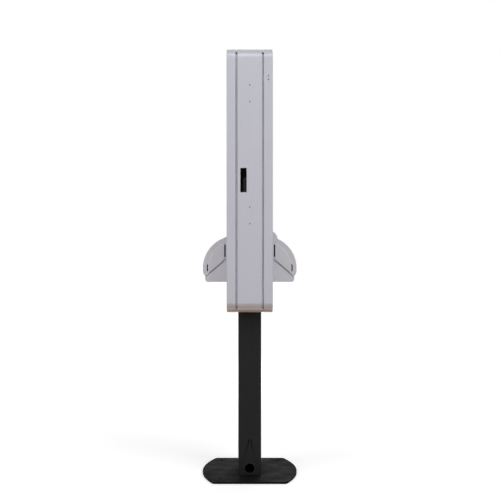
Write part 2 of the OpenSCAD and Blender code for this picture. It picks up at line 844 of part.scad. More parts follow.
module tray_shape(inset) {
    reach = tray_reach - inset;
    difference() {
        union() {
            translate([-over, inset]) square([reach - tray_corner_r + inset + over, hood_r]);
            translate([-over, tray_corner_r]) square([reach + over, hood_r]);
            translate([tray_reach - tray_corner_r, tray_corner_r]) circle(r = tray_corner_r - inset);
        }
        seam_half(-seam_gap / 2, -2 * over, 2 * hood_r);
    }
}

// Strip along the seam, from the door's side to the knuckles
module seam_strip(low, high) {
    start = wall_t / 2;
    end = knuckle_out - knuckle_r - 2 * knuckle_play;
    polygon([[start, seam_at(start) + low], [end, seam_at(end) + low], [end, seam_at(end) + high],
        [start, seam_at(start) + high]]);
}

// Lip that stands behind the seam, and the web that carries it
module seam_lip() {
    out_x = cheek_x - wall_t - seam_lip_gap;
    low = -seam_gap / 2 - seam_lip_low;
    across(out_x - seam_lip_t, out_x) seam_strip(low, seam_gap / 2 + seam_lip_high);
    across(out_x - seam_lip_t, console_w / 2 - wall_t / 2) seam_strip(low, low + wall_t);
}

module tilt_clear(x0, x1) {
    across(x0, x1) translate(tilt_c) circle(r = knuckle_r + knuckle_play);
}

module console_tray() {
    half = console_w / 2;
    tray_knuckle = knuckle_x - knuckle_play - knuckle_l;
    color(shell_c) {
        difference() {
            across(-half, half) intersection() {
                tray_shape(0);
                square([tray_reach, hood_r]);
            }
            difference() {
                across(-half + wall_t, half - wall_t) tray_shape(wall_t);
                across(-half, half) square([wall_t, hood_r]);
            }
            across(-opening_w / 2, opening_w / 2) translate([-over, opening_low])
                square([wall_t + 2 * over, hood_r]);
            tilt_clear(-half - over, half + over);
        }
        for (s = [0, 1]) mirror([s, 0, 0]) {
            seam_lip();
            across(tray_knuckle, tray_knuckle + knuckle_l) {
                translate(tilt_c) circle(r = knuckle_r);
                translate([knuckle_out - knuckle_r, knuckle_up - 3 * knuckle_r])
                    square([tray_reach - knuckle_out + knuckle_r, 3 * knuckle_r]);
            }
            across(tray_knuckle, cheek_x) translate(tilt_c) circle(r = tilt_pin_r);
        }
    }
}

// Solid outline of the hood, before its seam and its back are cut
module hood_mass(inset) {
    intersection() {
        translate(hood_c) circle(r = hood_r - inset);
        translate(hood_c) rotate(-nose_angle) translate([-hood_r, 0]) square([2 * hood_r, 2 * hood_r]);
    }
    translate(nose_c) circle(r = nose_r - inset);
    translate([-hood_in, 0]) square([nose_c[0] + hood_in, hood_c[1]]);
}

module hood_shape(inset) {
    intersection() {
        hood_mass(inset);
        seam_half(seam_gap / 2, hood_gap, 2 * hood_r);
    }
}

// Straight dark slot along the back of a side panel and the short one at its low end
module cheek_slots() {
    translate([side_panel_in - side_slot_w, seam_at(side_panel_in) + cheek_slot_up])
        square([side_slot_w, cheek_slot_l]);
    intersection() {
        difference() {
            translate(hood_c) circle(r = side_panel_r + cheek_slot_low_w);
            translate(hood_c) circle(r = side_panel_r);
        }
        translate(hood_c) rotate(-nose_angle) square([hood_r, cheek_slot_low_l]);
    }
}

module hood_well(grow, low, high) {
    on_pad() box(pad_w + 2 * pad_gap + 2 * grow, pad_l + 2 * pad_gap + 2 * grow, low, high);
}

module receipt_cut(grow, x_grow) {
    across(-printer_x - receipt_w / 2 - x_grow, -printer_x + receipt_w / 2 + x_grow)
        translate([receipt_out - receipt_d / 2 - grow, hood_up + hood_r / 2])
            square([receipt_d + 2 * grow, hood_r]);
}

module console_hood() {
    inside = cheek_x - wall_t;
    color(shell_c) difference() {
        union() {
            difference() {
                across(-cheek_x, cheek_x) hood_shape(0);
                across(-inside, inside) hood_mass(wall_t);
                tilt_clear(-cheek_x - over, cheek_x + over);
            }
            intersection() {
                across(-cheek_x, cheek_x) hood_shape(0);
                hood_well(well_t, -pad_t - seat_gap - well_t, hood_r);
            }
            for (s = [0, 1]) mirror([s, 0, 0]) across(knuckle_x, cheek_x) difference() {
                union() {
                    translate(tilt_c) circle(r = knuckle_r);
                    translate([knuckle_out - knuckle_r, knuckle_up]) square([knuckle_r, 3 * knuckle_r]);
                }
                translate(tilt_c) circle(r = tilt_pin_r + tilt_play);
            }
        }
        hood_well(0, -pad_t - seat_gap, hood_r);
        on_pad() translate([0, 0, -pad_t - 2 * well_t - over])
            cylinder(r = wire_r, h = 2 * well_t + 2 * over);
        receipt_cut(bezel_wall + bezel_gap, bezel_wall + bezel_gap);
        for (s = [0, 1]) mirror([s, 0, 0]) across(inside - over, cheek_x + over) cheek_slots();
    }
}

module side_panels() {
    lift = seam_gap + wall_t;
    color(shell_c) for (s = [0, 1]) mirror([s, 0, 0]) across(cheek_x, console_w / 2) intersection() {
        translate(hood_c) circle(r = side_panel_r);
        seam_half(lift, side_panel_in, 2 * hood_r);
    }
}

function key_spot(i) = [(i % KEY_COLS - (KEY_COLS - 1) / 2) * key_pitch_x,
    keys_top - floor(i / KEY_COLS) * key_pitch_y];

module terminal() {
    color(dark_c) on_pad() difference() {
        box(pad_w, pad_l, -pad_t, 0);
        translate([0, screen_mid, 0]) box(screen_w + 2 * key_gap, screen_h + 2 * key_gap, -screen_t, over);
        translate([0, keys_mid, 0]) box(keys_w, keys_h, -face_t - key_room, -face_t);
        for (i = [0 : len(KEYS) - 1]) translate(key_spot(i))
            box(key_w + 2 * key_gap, key_h + 2 * key_gap, -face_t - over, over);
        translate([0, card_y, 0]) box(card_w, card_h, -card_deep, over);
    }
}

module terminal_screen() {
    color([0.05, 0.06, 0.07]) on_pad() translate([0, screen_mid, 0]) box(screen_w, screen_h, -screen_t, 0);
}

module key(i) {
    skirt = -face_t - seat_gap;
    color(KEYS[i] == "cancel" ? [0.7, 0.12, 0.1] : KEYS[i] == "enter" ? [0.1, 0.5, 0.2] : [0.75, 0.75, 0.75])
        on_pad() translate(key_spot(i)) {
            box(key_w, key_h, skirt, key_proud);
            box(key_w + 2 * key_skirt, key_h + 2 * key_skirt, skirt - key_skirt_t, skirt);
            box(key_stem_w, key_stem_w, skirt - key_skirt_t - key_stem_l, skirt);
        }
}

// Between the printer's side plates: its floor, the roll's spindle and the print head's block
module printer_middle() {
    across(-printer_x - printer_in, -printer_x + printer_in) {
        translate([roll_out, roll_up]) circle(r = spindle_r);
        translate([head_in, head_low]) square([head_out - head_in, head_h]);
        translate([wall_t, wall_t]) square([roll_out + spindle_r - wall_t, printer_side_t]);
    }
}

module printer_side() {
    difference() {
        union() {
            translate([wall_t, wall_t]) square([roll_out + spindle_r - wall_t, roll_up - wall_t]);
            translate([roll_out, roll_up]) circle(r = spindle_r + printer_side_t);
            translate([head_in, roll_up]) square([head_out - head_in, head_high - roll_up]);
        }
        translate([-hood_r, -over]) square([hood_r + wall_t, roll_up + over]);
    }
}

module printer() {
    color(dark_c) difference() {
        union() {
            printer_middle();
            across(-printer_x - printer_out, -printer_x - printer_in) printer_side();
            across(-printer_x + printer_in, -printer_x + printer_out) printer_side();
        }
        across(-printer_x - paper_w / 2, -printer_x + paper_w / 2)
            translate([receipt_out - receipt_d / 4, head_low - over])
                square([receipt_d / 2, head_high - head_low + 2 * over]);
    }
}

module paper_roll() {
    color([0.93, 0.93, 0.9]) across(-printer_x - paper_w / 2, -printer_x + paper_w / 2)
        translate([roll_out, roll_up]) difference() {
            circle(r = roll_r);
            circle(r = spindle_r + roll_play);
        }
}

module receipt_bezel() {
    color(dark_c) difference() {
        union() {
            across(-printer_x - receipt_w / 2 - bezel_rim, -printer_x + receipt_w / 2 + bezel_rim)
                intersection() {
                    difference() {
                        translate(hood_c) circle(r = hood_r + bezel_t);
                        translate(hood_c) circle(r = hood_r);
                    }
                    translate([receipt_out - receipt_d / 2 - bezel_rim, hood_r])
                        square([receipt_d + 2 * bezel_rim, hood_r]);
                }
            intersection() {
                receipt_cut(bezel_wall, bezel_wall);
                across(-cheek_x, cheek_x) difference() {
                    translate(hood_c) circle(r = hood_r + bezel_t / 2);
                    translate(hood_c) circle(r = hood_r - bezel_deep);
                }
            }
        }
        receipt_cut(0, 0);
    }
}

module mouth_form(inset, back) {
    intersection() {
        translate([-mouth_in, mouth_up]) circle(r = mouth_r - inset);
        translate([back, 0]) square(2 * hood_r);
    }
}

// Raised mouth on the rear hood, a shell round the bezel with a slot of its own
module receipt_mouth() {
    half = receipt_w / 2 + bezel_rim + bezel_gap;
    color(shell_c) difference() {
        across(-printer_x - half - wall_t, -printer_x + half + wall_t) difference() {
            mouth_form(0, hood_gap);
            translate(hood_c) circle(r = hood_r);
        }
        across(-printer_x - half, -printer_x + half)
            mouth_form(wall_t, receipt_out - receipt_d / 2 - bezel_rim - bezel_gap);
        receipt_cut(mouth_gap, 0);
    }
}

base_plate();
post();
post_foot();
post_head();
cable_grommet();
fasteners();
chassis_frame();
hinge_brackets();
equipment_plate();
computer();
power_supply();
rotate([0, 0, 180]) receipt_mouth();  // rear_receipt_mouth
for (s = [0, 1]) rotate([0, 0, 180 * s]) {
    door();
    glass();
    display();
    latch_bar();
    console_tray();
    console_hood();
    side_panels();
    terminal();
    terminal_screen();
    printer();
    paper_roll();
    receipt_bezel();
    for (i = [0 : len(KEYS) - 1])
        key(i);
}
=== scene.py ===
"""Looks of the double-sided self-ordering kiosk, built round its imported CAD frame.

Metres, Z up, origin on the floor under the post. The front faces -Y, and the rear is the front turned half a
turn.
"""
import json
import math

import bmesh
import bpy
from mathutils import Matrix, Vector

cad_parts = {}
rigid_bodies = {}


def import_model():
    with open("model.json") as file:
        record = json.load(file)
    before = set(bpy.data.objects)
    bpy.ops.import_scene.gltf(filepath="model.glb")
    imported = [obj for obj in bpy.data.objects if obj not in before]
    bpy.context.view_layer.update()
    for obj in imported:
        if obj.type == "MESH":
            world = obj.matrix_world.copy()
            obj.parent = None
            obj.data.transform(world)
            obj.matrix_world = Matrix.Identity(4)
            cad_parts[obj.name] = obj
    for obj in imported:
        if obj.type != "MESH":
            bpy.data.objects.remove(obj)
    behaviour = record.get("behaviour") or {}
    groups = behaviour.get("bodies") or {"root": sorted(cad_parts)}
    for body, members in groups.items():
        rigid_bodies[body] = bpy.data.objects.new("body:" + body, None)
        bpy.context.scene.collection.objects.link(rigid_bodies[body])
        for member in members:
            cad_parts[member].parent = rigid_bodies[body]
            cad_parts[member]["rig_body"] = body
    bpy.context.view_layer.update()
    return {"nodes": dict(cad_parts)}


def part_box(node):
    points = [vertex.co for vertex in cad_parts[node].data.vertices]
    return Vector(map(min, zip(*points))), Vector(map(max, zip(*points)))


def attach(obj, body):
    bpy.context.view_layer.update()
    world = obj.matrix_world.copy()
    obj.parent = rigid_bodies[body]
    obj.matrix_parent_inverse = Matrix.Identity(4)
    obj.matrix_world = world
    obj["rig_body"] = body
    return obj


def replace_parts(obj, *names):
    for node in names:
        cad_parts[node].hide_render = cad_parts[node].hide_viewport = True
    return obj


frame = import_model()
NODES = frame["nodes"]
scene = bpy.context.scene

# Sizes read from the frame
door_low, door_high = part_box("front_door")
glass_low, glass_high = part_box("front_glass")
roll_low, roll_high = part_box("front_paper_roll")
FACE = -door_low.y                               # from the body's middle to a door's outer face
BODY_HALF_W, BODY_LOW, BODY_HIGH = door_high.x, door_low.z, door_high.z
GLASS_Z = (glass_low.z + glass_high.z) / 2
POST_HALF_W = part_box("post")[1].x
CONSOLE_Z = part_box("front_console_tray")[0].z
PANEL_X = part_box("front_side_panels")[1].x       # a side panel's outer face
PRINTER_X, PAPER_W = (roll_low.x + roll_high.x) / 2, roll_high.x - roll_low.x
THUMB_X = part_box("front_latch_bar")[1].x         # the face of a latch's thumb piece

# Sizes that the CAD source also has
SIDES = {"front": Matrix.Identity(4), "rear": Matrix.Rotation(math.pi, 4, "Z")}
BODY_R = 0.045                                   # a door's corners, seen from the front
BAND_SCREW_ZS = (1.647, 1.579, 1.147, 1.079)
POST_SCREW_Z = 0.162
DOOR_MID, HINGE_Z, HINGE_SCREW_PITCH, HINGE_SCREW_R = 0.0767, 1.677, 0.015, 0.0022
THUMB_Y, THUMB_LOW = 0.0193, 1.2075
HOOD_CENTRE, HOOD_R = (-0.0335, 0.0575), 0.1375  # out from the face and up from the console
PANEL_R = 0.1155                                 # a side panel's outer arc, round the hood's centre
CHEEK_X = 0.1020                                 # the inside of a hood's cheek
PAD_X, PAD_ELEV, PAD_DIST = 0.047, math.radians(34), 0.1145
KEY_PITCH, KEYS_TOP, KEY_PROUD = (0.021, 0.0136), 0.014, 0.0018
ROLL_CENTRE = (0.033, 0.046)                     # out from the face and up from the console
RECEIPT_OUT, RECEIPT_D, RECEIPT_W = 0.009, 0.0052, 0.084
PLATE_Y = 0.0015                                 # half of the equipment plate's thickness

# What only this script has
KEYS = ["1", "2", "3", "4", "5", "6", "7", "8", "9", "cancel", "0", "enter"]
KEY_MARKS = {"cancel": "X", "enter": "O"}
MARK_SIZE, MARK_LIFT, MARK_DEPTH = 0.0075, 0.00002, 0.0001
GLASS_AREA = (0.1992, 0.3542)                    # half the display area's width and height
COLLAR_Y, COLLAR_INSET = 0.0503, 0.0185          # the collars' painted light, a paler colour: off the middle, in from both ends
THUMB_REACH = 0.2345                             # off the body's middle, from where a latch is lighter
WELD_DIST, FLAT_ANGLE = 2e-6, math.radians(0.6)  # which doubles and flat seams of the CAD mesh are taken out
RIM_ANGLE, ROUND_ANGLE = 0.6, math.radians(40)   # from which angle an edge gets the rim's or plain rounding
ON_FACE, ON_EDGE = 1e-4, 3e-4                    # how near a rim's points lie to its face and its outline
HEAD_R, HEAD_H, HEAD_DEPTH = 0.0032, 0.0016, 0.6
HINGE_HEAD_MARGIN, HINGE_HEAD_DEPTH = 0.0004, 0.3
PAPER_T, PAPER_PLAY = 0.0001, 0.0005
# Black sheets that stand in for the shade behind the hood's slots
SHADE_SHEET_T, SHADE_SHEET_SPAN, SHADE_SHEET_TALL = 0.0010, 0.0076, 0.054
SHADE_SHEET_AT = (0.010, 0.1324)                      # out from the face and up from the console
ARC_FROM, ARC_TO, ARC_STEPS = -7.0, 9.5, 12      # degrees above the hood's centre
ARC_INNER, ARC_OUTER = 0.1148, 0.1212
LOOM_Y, LOOM_R, LOOM_BEND, LOOM_STEP, LOOM_DROP = 0.0062, 0.0028, 0.88, 0.05, 0.08
# A cable's first points: how many times LOOM_Y off the plate, and how far down from the box
LOOM_START = ((2, 0), (1.8, 0.025), (1.2, 0.055))
# Its last points: the share of the way to the duct, how many times LOOM_Y off the plate, and the height
LOOM_TURN = ((0.12, 1.02, 0.845), (0.42, 1.2, 0.808), (0.75, 1.7, 0.775), (0.96, 2.1, 0.742),
             (1, 2.1, 0.715), (1, 2.1, 0.69))
CLIP_X, CLIP_ZS, CLIP_W, CLIP_TALL = -0.049, (1.24, 1.11, 0.98, 0.89), 0.026, 0.008

# Camera
camera_data = bpy.data.cameras.new("camera")
camera = bpy.data.objects.new("camera", camera_data)
scene.collection.objects.link(camera)
camera.location = (4.2453, 0.00115, 1.0401)
camera.rotation_euler = (math.radians(90 - 0.9921), 0, math.radians(90))
camera_data.sensor_width = 36
camera_data.lens = 70.22
camera_data.clip_end = 60
scene.camera = camera
scene.view_settings.view_transform = "Standard"


# Shader nodes
def node(tree, kind, **values):
    """A new node with its sockets' values and its own settings."""
    made = tree.nodes.new(kind)
    for name, value in values.items():
        if name in made.inputs:
            made.inputs[name].default_value = value
        else:
            setattr(made, name, value)
    return made


def coordinates(tree, kind="Object"):
    """The object's own coordinates, or its Normal, as sockets X, Y and Z."""
    split = node(tree, "ShaderNodeSeparateXYZ")
    tree.links.new(tree.nodes.new("ShaderNodeTexCoord").outputs[kind], split.inputs[0])
    return split.outputs


def maths(tree, operation, a, b=None):
    """A Math node on a socket and, where b is given, on a second socket or a number."""
    made = node(tree, "ShaderNodeMath", operation=operation)
    tree.links.new(a, made.inputs[0])
    if isinstance(b, (int, float)):
        made.inputs[1].default_value = b
    elif b is not None:
        tree.links.new(b, made.inputs[1])
    return made.outputs[0]


def near(tree, socket, middle, half, test="LESS_THAN"):
    """1 where a coordinate lies less than half from the middle, or more than half with the other test."""
    return maths(tree, test, maths(tree, "ABSOLUTE", maths(tree, "SUBTRACT", socket, middle)), half)


def noise_of(tree, scale, detail=3.0, roughness=0.5, stretch=None):
    """Noise in the object's own metres, stretched along an axis if asked."""
    where = tree.nodes.new("ShaderNodeTexCoord").outputs["Object"]
    if stretch:
        mapping = node(tree, "ShaderNodeMapping", Scale=stretch)
        tree.links.new(where, mapping.inputs["Vector"])
        where = mapping.outputs["Vector"]
    noise = node(tree, "ShaderNodeTexNoise", Scale=scale, Detail=detail, Roughness=roughness)
    tree.links.new(where, noise.inputs["Vector"])
    return noise.outputs["Fac"]


def spread(tree, fac, low, high, start=0.3, end=0.7):
    """low to high as the factor goes from start to end."""
    ranged = node(tree, "ShaderNodeMapRange")
    for name, value in (("From Min", start), ("From Max", end), ("To Min", low), ("To Max", high)):
        ranged.inputs[name].default_value = value
    tree.links.new(fac, ranged.inputs["Value"])
    return ranged.outputs["Result"]


def mixed(tree, fac, a, b):
    """A mix of two colours, each a tuple or a socket."""
    mix = node(tree, "ShaderNodeMix", data_type="RGBA")
    tree.links.new(fac, mix.inputs["Factor"])
    for socket, value in ((mix.inputs[6], a), (mix.inputs[7], b)):
        if isinstance(value, tuple):
            socket.default_value = (*value, 1)
        else:
            tree.links.new(value, socket)
    return mix.outputs[2]


def scaled(color, k):
    """The colour made k times as bright, up to white."""
    return tuple(min(1.0, c * k) for c in color)


# Materials
def finish(name, color, roughness, metallic=0.0, coat=0.0, tone=0.03, tone_scale=5.0, grain=900.0,
           bump=0.00004, sheen=0.0, wear=None, stretch=None, specular=0.5, uneven=(0.85, 1.2)):
    """A finish with slow colour drift, uneven gloss, a fine surface grain and, if asked, rubbed edges."""
    mat = bpy.data.materials.new(name)
    mat.use_nodes = True
    tree = mat.node_tree
    shader = tree.nodes["Principled BSDF"]
    shader.inputs["Metallic"].default_value = metallic
    shader.inputs["Coat Weight"].default_value = coat
    shader.inputs["Coat Roughness"].default_value = 0.12
    shader.inputs["Sheen Weight"].default_value = sheen
    shader.inputs["Specular IOR Level"].default_value = specular
    base = mixed(tree, noise_of(tree, tone_scale), scaled(color, 1 - tone), scaled(color, 1 + tone))
    if wear:
        rounded = node(tree, "ShaderNodeBevel", Radius=0.0012)
        dot = node(tree, "ShaderNodeVectorMath", operation="DOT_PRODUCT")
        tree.links.new(rounded.outputs["Normal"], dot.inputs[0])
        tree.links.new(tree.nodes.new("ShaderNodeNewGeometry").outputs["Normal"], dot.inputs[1])
        edge = spread(tree, dot.outputs["Value"], 1.0, 0.0, 0.8, 0.99)
        patches = spread(tree, noise_of(tree, 60), 0.0, 0.8)
        base = mixed(tree, maths(tree, "MULTIPLY", edge, patches), base, wear)
    tree.links.new(base, shader.inputs["Base Color"])
    gloss = spread(tree, noise_of(tree, 14, 5), roughness * uneven[0], min(1.0, roughness * uneven[1]))
    tree.links.new(gloss, shader.inputs["Roughness"])
    relief = node(tree, "ShaderNodeBump", Strength=0.5, Distance=bump)
    tree.links.new(noise_of(tree, grain, 2, 0.6, stretch), relief.inputs["Height"])
    tree.links.new(relief.outputs["Normal"], shader.inputs["Normal"])
    return mat


def recoloured(mat, change):
    """Gives the material the colour that change makes from its tree and its colour so far."""
    tree = mat.node_tree
    socket = tree.nodes["Principled BSDF"].inputs["Base Color"]
    tree.links.new(change(tree, socket.links[0].from_socket), socket)
    return mat


def coat_and_fold_light(name, color):
    """The body's semi-gloss coat, with painted shade where its faces turn upwards, a warmer painted shade
    where they turn down and a painted floor reflection where they face furthest down.
    """
    def with_painted_fold_light(tree, tone):
        up = coordinates(tree, "Normal")["Z"]
        for painted_fold_color, start, end in PAINTED_FOLD_LIGHT:
            tone = mixed(tree, spread(tree, up, 0.0, 1.0, start, end), tone, painted_fold_color)
        return tone

    coat = finish(name, color, 0.26, tone=0.012, tone_scale=2.2, grain=1500, bump=0.00005,
                  uneven=(0.98, 1.02))
    return recoloured(coat, with_painted_fold_light)


def frame_coat_and_collar_light(name, color, collar):
    """The body's coat, with painted light on the recessed collars that show in the reveals: a paler colour
    that lightens their shade.
    """
    def with_painted_collar_light(tree, coat):
        at = coordinates(tree)
        out = near(tree, at["Y"], 0, COLLAR_Y, "GREATER_THAN")
        level = near(tree, at["Z"], (BODY_LOW + BODY_HIGH) / 2, (BODY_HIGH - BODY_LOW) / 2 - COLLAR_INSET)
        return mixed(tree, maths(tree, "MULTIPLY", out, level), coat, collar)

    return recoloured(coat_and_fold_light(name, color), with_painted_collar_light)


def latch_finish(name, bar, thumb):
    """The latch's bar inside the body, made near-black as painted shade where it shows through the finger
    slot, with the thumb piece that reaches into the finger slot a little lighter.
    """
    def with_thumb(tree, _):
        out = near(tree, coordinates(tree)["X"], 0, THUMB_REACH, "GREATER_THAN")
        return mixed(tree, out, bar, mixed(tree, noise_of(tree, 90), thumb, scaled(thumb, 1.4)))

    moulded = finish(name, thumb, 0.6, tone=0.1, grain=1800, bump=0.00006, specular=0.02)
    return recoloured(moulded, with_thumb)


def screen_glass(name, half_w, half_h, middle_z, dark, panel):
    """Black printed border with the slightly lighter display area behind the glass."""
    def with_display(tree, _):
        at = coordinates(tree)
        across, up = near(tree, at["X"], 0, half_w), near(tree, at["Z"], middle_z, half_h)
        inside = maths(tree, "MULTIPLY", across, up)
        return mixed(tree, inside, dark, mixed(tree, noise_of(tree, 3), scaled(panel, 0.85), panel))

    glass = finish(name, dark, 0.07, tone=0.1, bump=0.000003, grain=40, specular=0.28)
    return recoloured(glass, with_display)


# The collar colour is painted light, paler to lighten the shade in the reveals
BODY_COLOR, COLLAR_PAINTED_LIGHT = (0.528, 0.552, 0.634), (0.77, 0.80, 0.88)
# Painted light on the body's folds: painted shade on upward faces, a warmer painted shade on downward ones
# and a painted floor reflection on those turned furthest down. Each tone with the normal's Z from which it
# starts and at which it is full
PAINTED_FOLD_LIGHT = (((0.468, 0.466, 0.484), 0.48, 0.54),
              ((0.45, 0.44, 0.455), -0.09, -0.17),
              ((0.68, 0.70, 0.76), -0.50, -0.60))
BODY = coat_and_fold_light("body_powder_coat_and_fold_light", BODY_COLOR)
FRAME = frame_coat_and_collar_light("frame_powder_coat_and_painted_light", BODY_COLOR, COLLAR_PAINTED_LIGHT)
CONSOLE = finish("console_moulded", (0.618, 0.636, 0.695), 0.48, tone=0.02, grain=2200, bump=0.00006)
BASE = finish("base_powder_coat", (0.0072, 0.0072, 0.0072), 0.66, tone=0.05, grain=1100, bump=0.00002,
              wear=(0.04, 0.04, 0.04), specular=0.015)
POST = finish("post_powder_coat", (0.0142, 0.0142, 0.0148), 0.50, tone=0.08, grain=1100, bump=0.00005,
              wear=(0.019, 0.019, 0.019), specular=0.12)
RUBBER = finish("grommet_rubber", (0.006, 0.006, 0.006), 0.7, tone=0.2, grain=700, bump=0.00008)
ZINC = finish("zinc_plated", (0.60, 0.61, 0.63), 0.34, metallic=1.0, tone=0.08, tone_scale=18, grain=500,
              stretch=(1, 1, 0.08))
BLACK_STEEL = finish("black_oxide", (0.014, 0.014, 0.015), 0.5, tone=0.15, grain=900, specular=0.12)
# Near-black sheet colour: painted shade behind the hood's slots
SLOT_SHADE = finish("painted_slot_shade", (0.0045, 0.0045, 0.005), 0.9, tone=0.2, grain=2600, bump=0.0001, specular=0.05)
SCREW = finish("screw_steel", (0.20, 0.20, 0.205), 0.35, metallic=0.9, tone=0.15, grain=900)
DARK = finish("equipment_paint", (0.028, 0.028, 0.031), 0.45, tone=0.1, grain=1400, bump=0.00006)
SHEATH_BLACK = finish("sheath_black", (0.010, 0.010, 0.011), 0.5, tone=0.1, grain=1200, bump=0.00003)
SHEATH_GREY = finish("sheath_grey", (0.20, 0.215, 0.235), 0.5, tone=0.05, grain=1200, bump=0.00003)
CLIP = finish("clip_nylon", (0.62, 0.61, 0.57), 0.5, tone=0.04, grain=1400, bump=0.00003)
# The bar's near-black is partly painted shade seen through the finger slot; the thumb piece keeps its own
# dark grey
LATCH = latch_finish("latch_moulded", (0.001, 0.001, 0.001), (0.016, 0.016, 0.017))
TERMINAL = finish("terminal_moulded", (0.035, 0.036, 0.040), 0.42, tone=0.08, grain=2600, bump=0.00005)
GLASS = screen_glass("touch_glass", *GLASS_AREA, GLASS_Z, (0.004, 0.004, 0.005), (0.016, 0.017, 0.020))
SMALL_GLASS = screen_glass("terminal_glass", 1, 1, 0, (0.004, 0.004, 0.005), (0.020, 0.026, 0.030))
PAPER = finish("thermal_paper", (0.86, 0.845, 0.80), 0.75, tone=0.02, grain=2500, bump=0.00003, sheen=0.15,
               specular=0.25)
KEY_GREY = finish("key_grey", (0.46, 0.46, 0.48), 0.6, tone=0.04, grain=2600)
KEY_RED = finish("key_red", (0.50, 0.03, 0.025), 0.55, tone=0.06, grain=2600)
KEY_GREEN = finish("key_green", (0.03, 0.30, 0.07), 0.55, tone=0.06, grain=2600)
MARK_DARK = finish("key_mark_dark", (0.02, 0.02, 0.02), 0.6, tone=0.1)
MARK_PALE = finish("key_mark_pale", (0.80, 0.80, 0.78), 0.6, tone=0.03)
LED = finish("led_lens", (0.05, 0.42, 0.10), 0.2, coat=1.0, tone=0.1)

# Looks and roundings of the CAD nodes
LOOKS = {"base_plate": BASE, "post": POST, "post_foot": POST, "post_head": POST, "cable_grommet": RUBBER,
         "fasteners": SCREW, "chassis_frame": FRAME, "hinge_brackets": ZINC, "equipment_plate": ZINC,
         "computer": DARK, "power_supply": ZINC, "rear_receipt_mouth": CONSOLE}
SIDE_LOOKS = {"door": BODY, "glass": GLASS, "display": ZINC, "latch_bar": LATCH, "console_tray": CONSOLE,
              "console_hood": CONSOLE, "side_panels": CONSOLE, "terminal": TERMINAL,
              "terminal_screen": SMALL_GLASS, "printer": DARK, "paper_roll": PAPER, "receipt_bezel": CONSOLE}
KEY_LOOKS = {"cancel": KEY_RED, "enter": KEY_GREEN}
# Each rounding is a width and a number of segments
ROUNDINGS = {"base_plate": (0.0014, 3), "post": (0.0012, 2), "post_foot": (0.0008, 2),
             "post_head": (0.0010, 2), "cable_grommet": (0.0012, 4), "chassis_frame": (0.0007, 2),
             "equipment_plate": (0.0006, 2), "computer": (0.0008, 2), "power_supply": (0.0006, 2),
             "hinge_brackets": (0.0005, 2), "rear_receipt_mouth": (0.0012, 3)}
SIDE_ROUNDINGS = {"door": (0.0009, 3), "glass": (0.0005, 2), "display": (0.0008, 2),
                  "latch_bar": (0.0006, 2), "console_tray": (0.0006, 2), "console_hood": (0.0006, 2),
                  "side_panels": (0.0012, 3), "terminal": (0.0006, 2), "terminal_screen": (0.0004, 2),
                  "printer": (0.0006, 2), "paper_roll": (0.0004, 2), "receipt_bezel": (0.0004, 2)}
KEY_ROUNDING = (0.0004, 3)
for side in SIDES:
    for part in SIDE_LOOKS:
        LOOKS[f"{side}_{part}"] = SIDE_LOOKS[part]
        ROUNDINGS[f"{side}_{part}"] = SIDE_ROUNDINGS[part]
    for key in KEYS:
        LOOKS[f"{side}_key_{key}"] = KEY_LOOKS.get(key, KEY_GREY)
        ROUNDINGS[f"{side}_key_{key}"] = KEY_ROUNDING
for name, ob in NODES.items():
    ob.data.materials.clear()
    ob.data.materials.append(LOOKS[name])


# Making pieces
def piece(name, mesh, body, look, smooth=35):
    """An object on a body, smooth but for the edges sharper than that many degrees."""
    made = bpy.data.objects.new(name, mesh)
    scene.collection.objects.link(made)
    if not mesh.materials:
        mesh.materials.append(look)
    mesh.shade_smooth()
    mesh.set_sharp_from_angle(angle=math.radians(smooth))
    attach(made, body)
    return made


def softened(name, width, segments=2, keep=None, label="looks", look=None, slot=None, rim=None):
    """A copy of the CAD node with rounded edges, which is shown in its place.

    keep picks those of its solids that are copied. rim gives a test for the edges that get a wider rounding,
    and its width. The faces are cut into triangles before the rounding, because the dissolved ones can have
    holes.
    """
    mesh = NODES[name].data.copy()
    if "custom_normal" in mesh.attributes:
        mesh.attributes.remove(mesh.attributes["custom_normal"])
    bm = bmesh.new()
    bm.from_mesh(mesh)
    bmesh.ops.remove_doubles(bm, verts=bm.verts, dist=WELD_DIST)
    if keep:
        bmesh.ops.delete(bm, geom=[v for v in bm.verts if not keep(v.co)], context="VERTS")
    bmesh.ops.dissolve_limit(bm, angle_limit=FLAT_ANGLE, verts=bm.verts, edges=bm.edges,
                             use_dissolve_boundaries=False)
    bmesh.ops.recalc_face_normals(bm, faces=bm.faces)
    if rim:
        on_rim, rim_width = rim
        edges = [e for e in bm.edges
                 if all(on_rim(v.co) for v in e.verts) and e.calc_face_angle(0) > RIM_ANGLE]
        bmesh.ops.bevel(bm, geom=edges, offset=rim_width, segments=5, affect="EDGES", profile=0.5,
                        clamp_overlap=True)
    bmesh.ops.triangulate(bm, faces=bm.faces[:], quad_method="BEAUTY", ngon_method="BEAUTY")
    bm.to_mesh(mesh)
    bm.free()
    if look:
        mesh.materials.clear()
    made = piece(f"{name}_{label}", mesh, NODES[name]["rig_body"], look or LOOKS[name])
    rounding = made.modifiers.new("rounding", "BEVEL")
    rounding.width = width
    rounding.segments = segments
    rounding.limit_method = "ANGLE"
    rounding.angle_limit = ROUND_ANGLE
    rounding.harden_normals = True
    rounding.use_clamp_overlap = True
    rounding.miter_outer = "MITER_ARC"
    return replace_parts(made, name)


def merged(name, parts, body, look, turn=None, smooth=35):
    """One piece from several bmesh pieces."""
    bm = bmesh.new()
    for part in parts:
        mesh = bpy.data.meshes.new("part")
        part.to_mesh(mesh)
        part.free()
        bm.from_mesh(mesh)
        bpy.data.meshes.remove(mesh)
    if turn is not None:
        bmesh.ops.transform(bm, matrix=turn, verts=bm.verts)
    mesh = bpy.data.meshes.new(name)
    bm.to_mesh(mesh)
    bm.free()
    return piece(name, mesh, body, look, smooth)


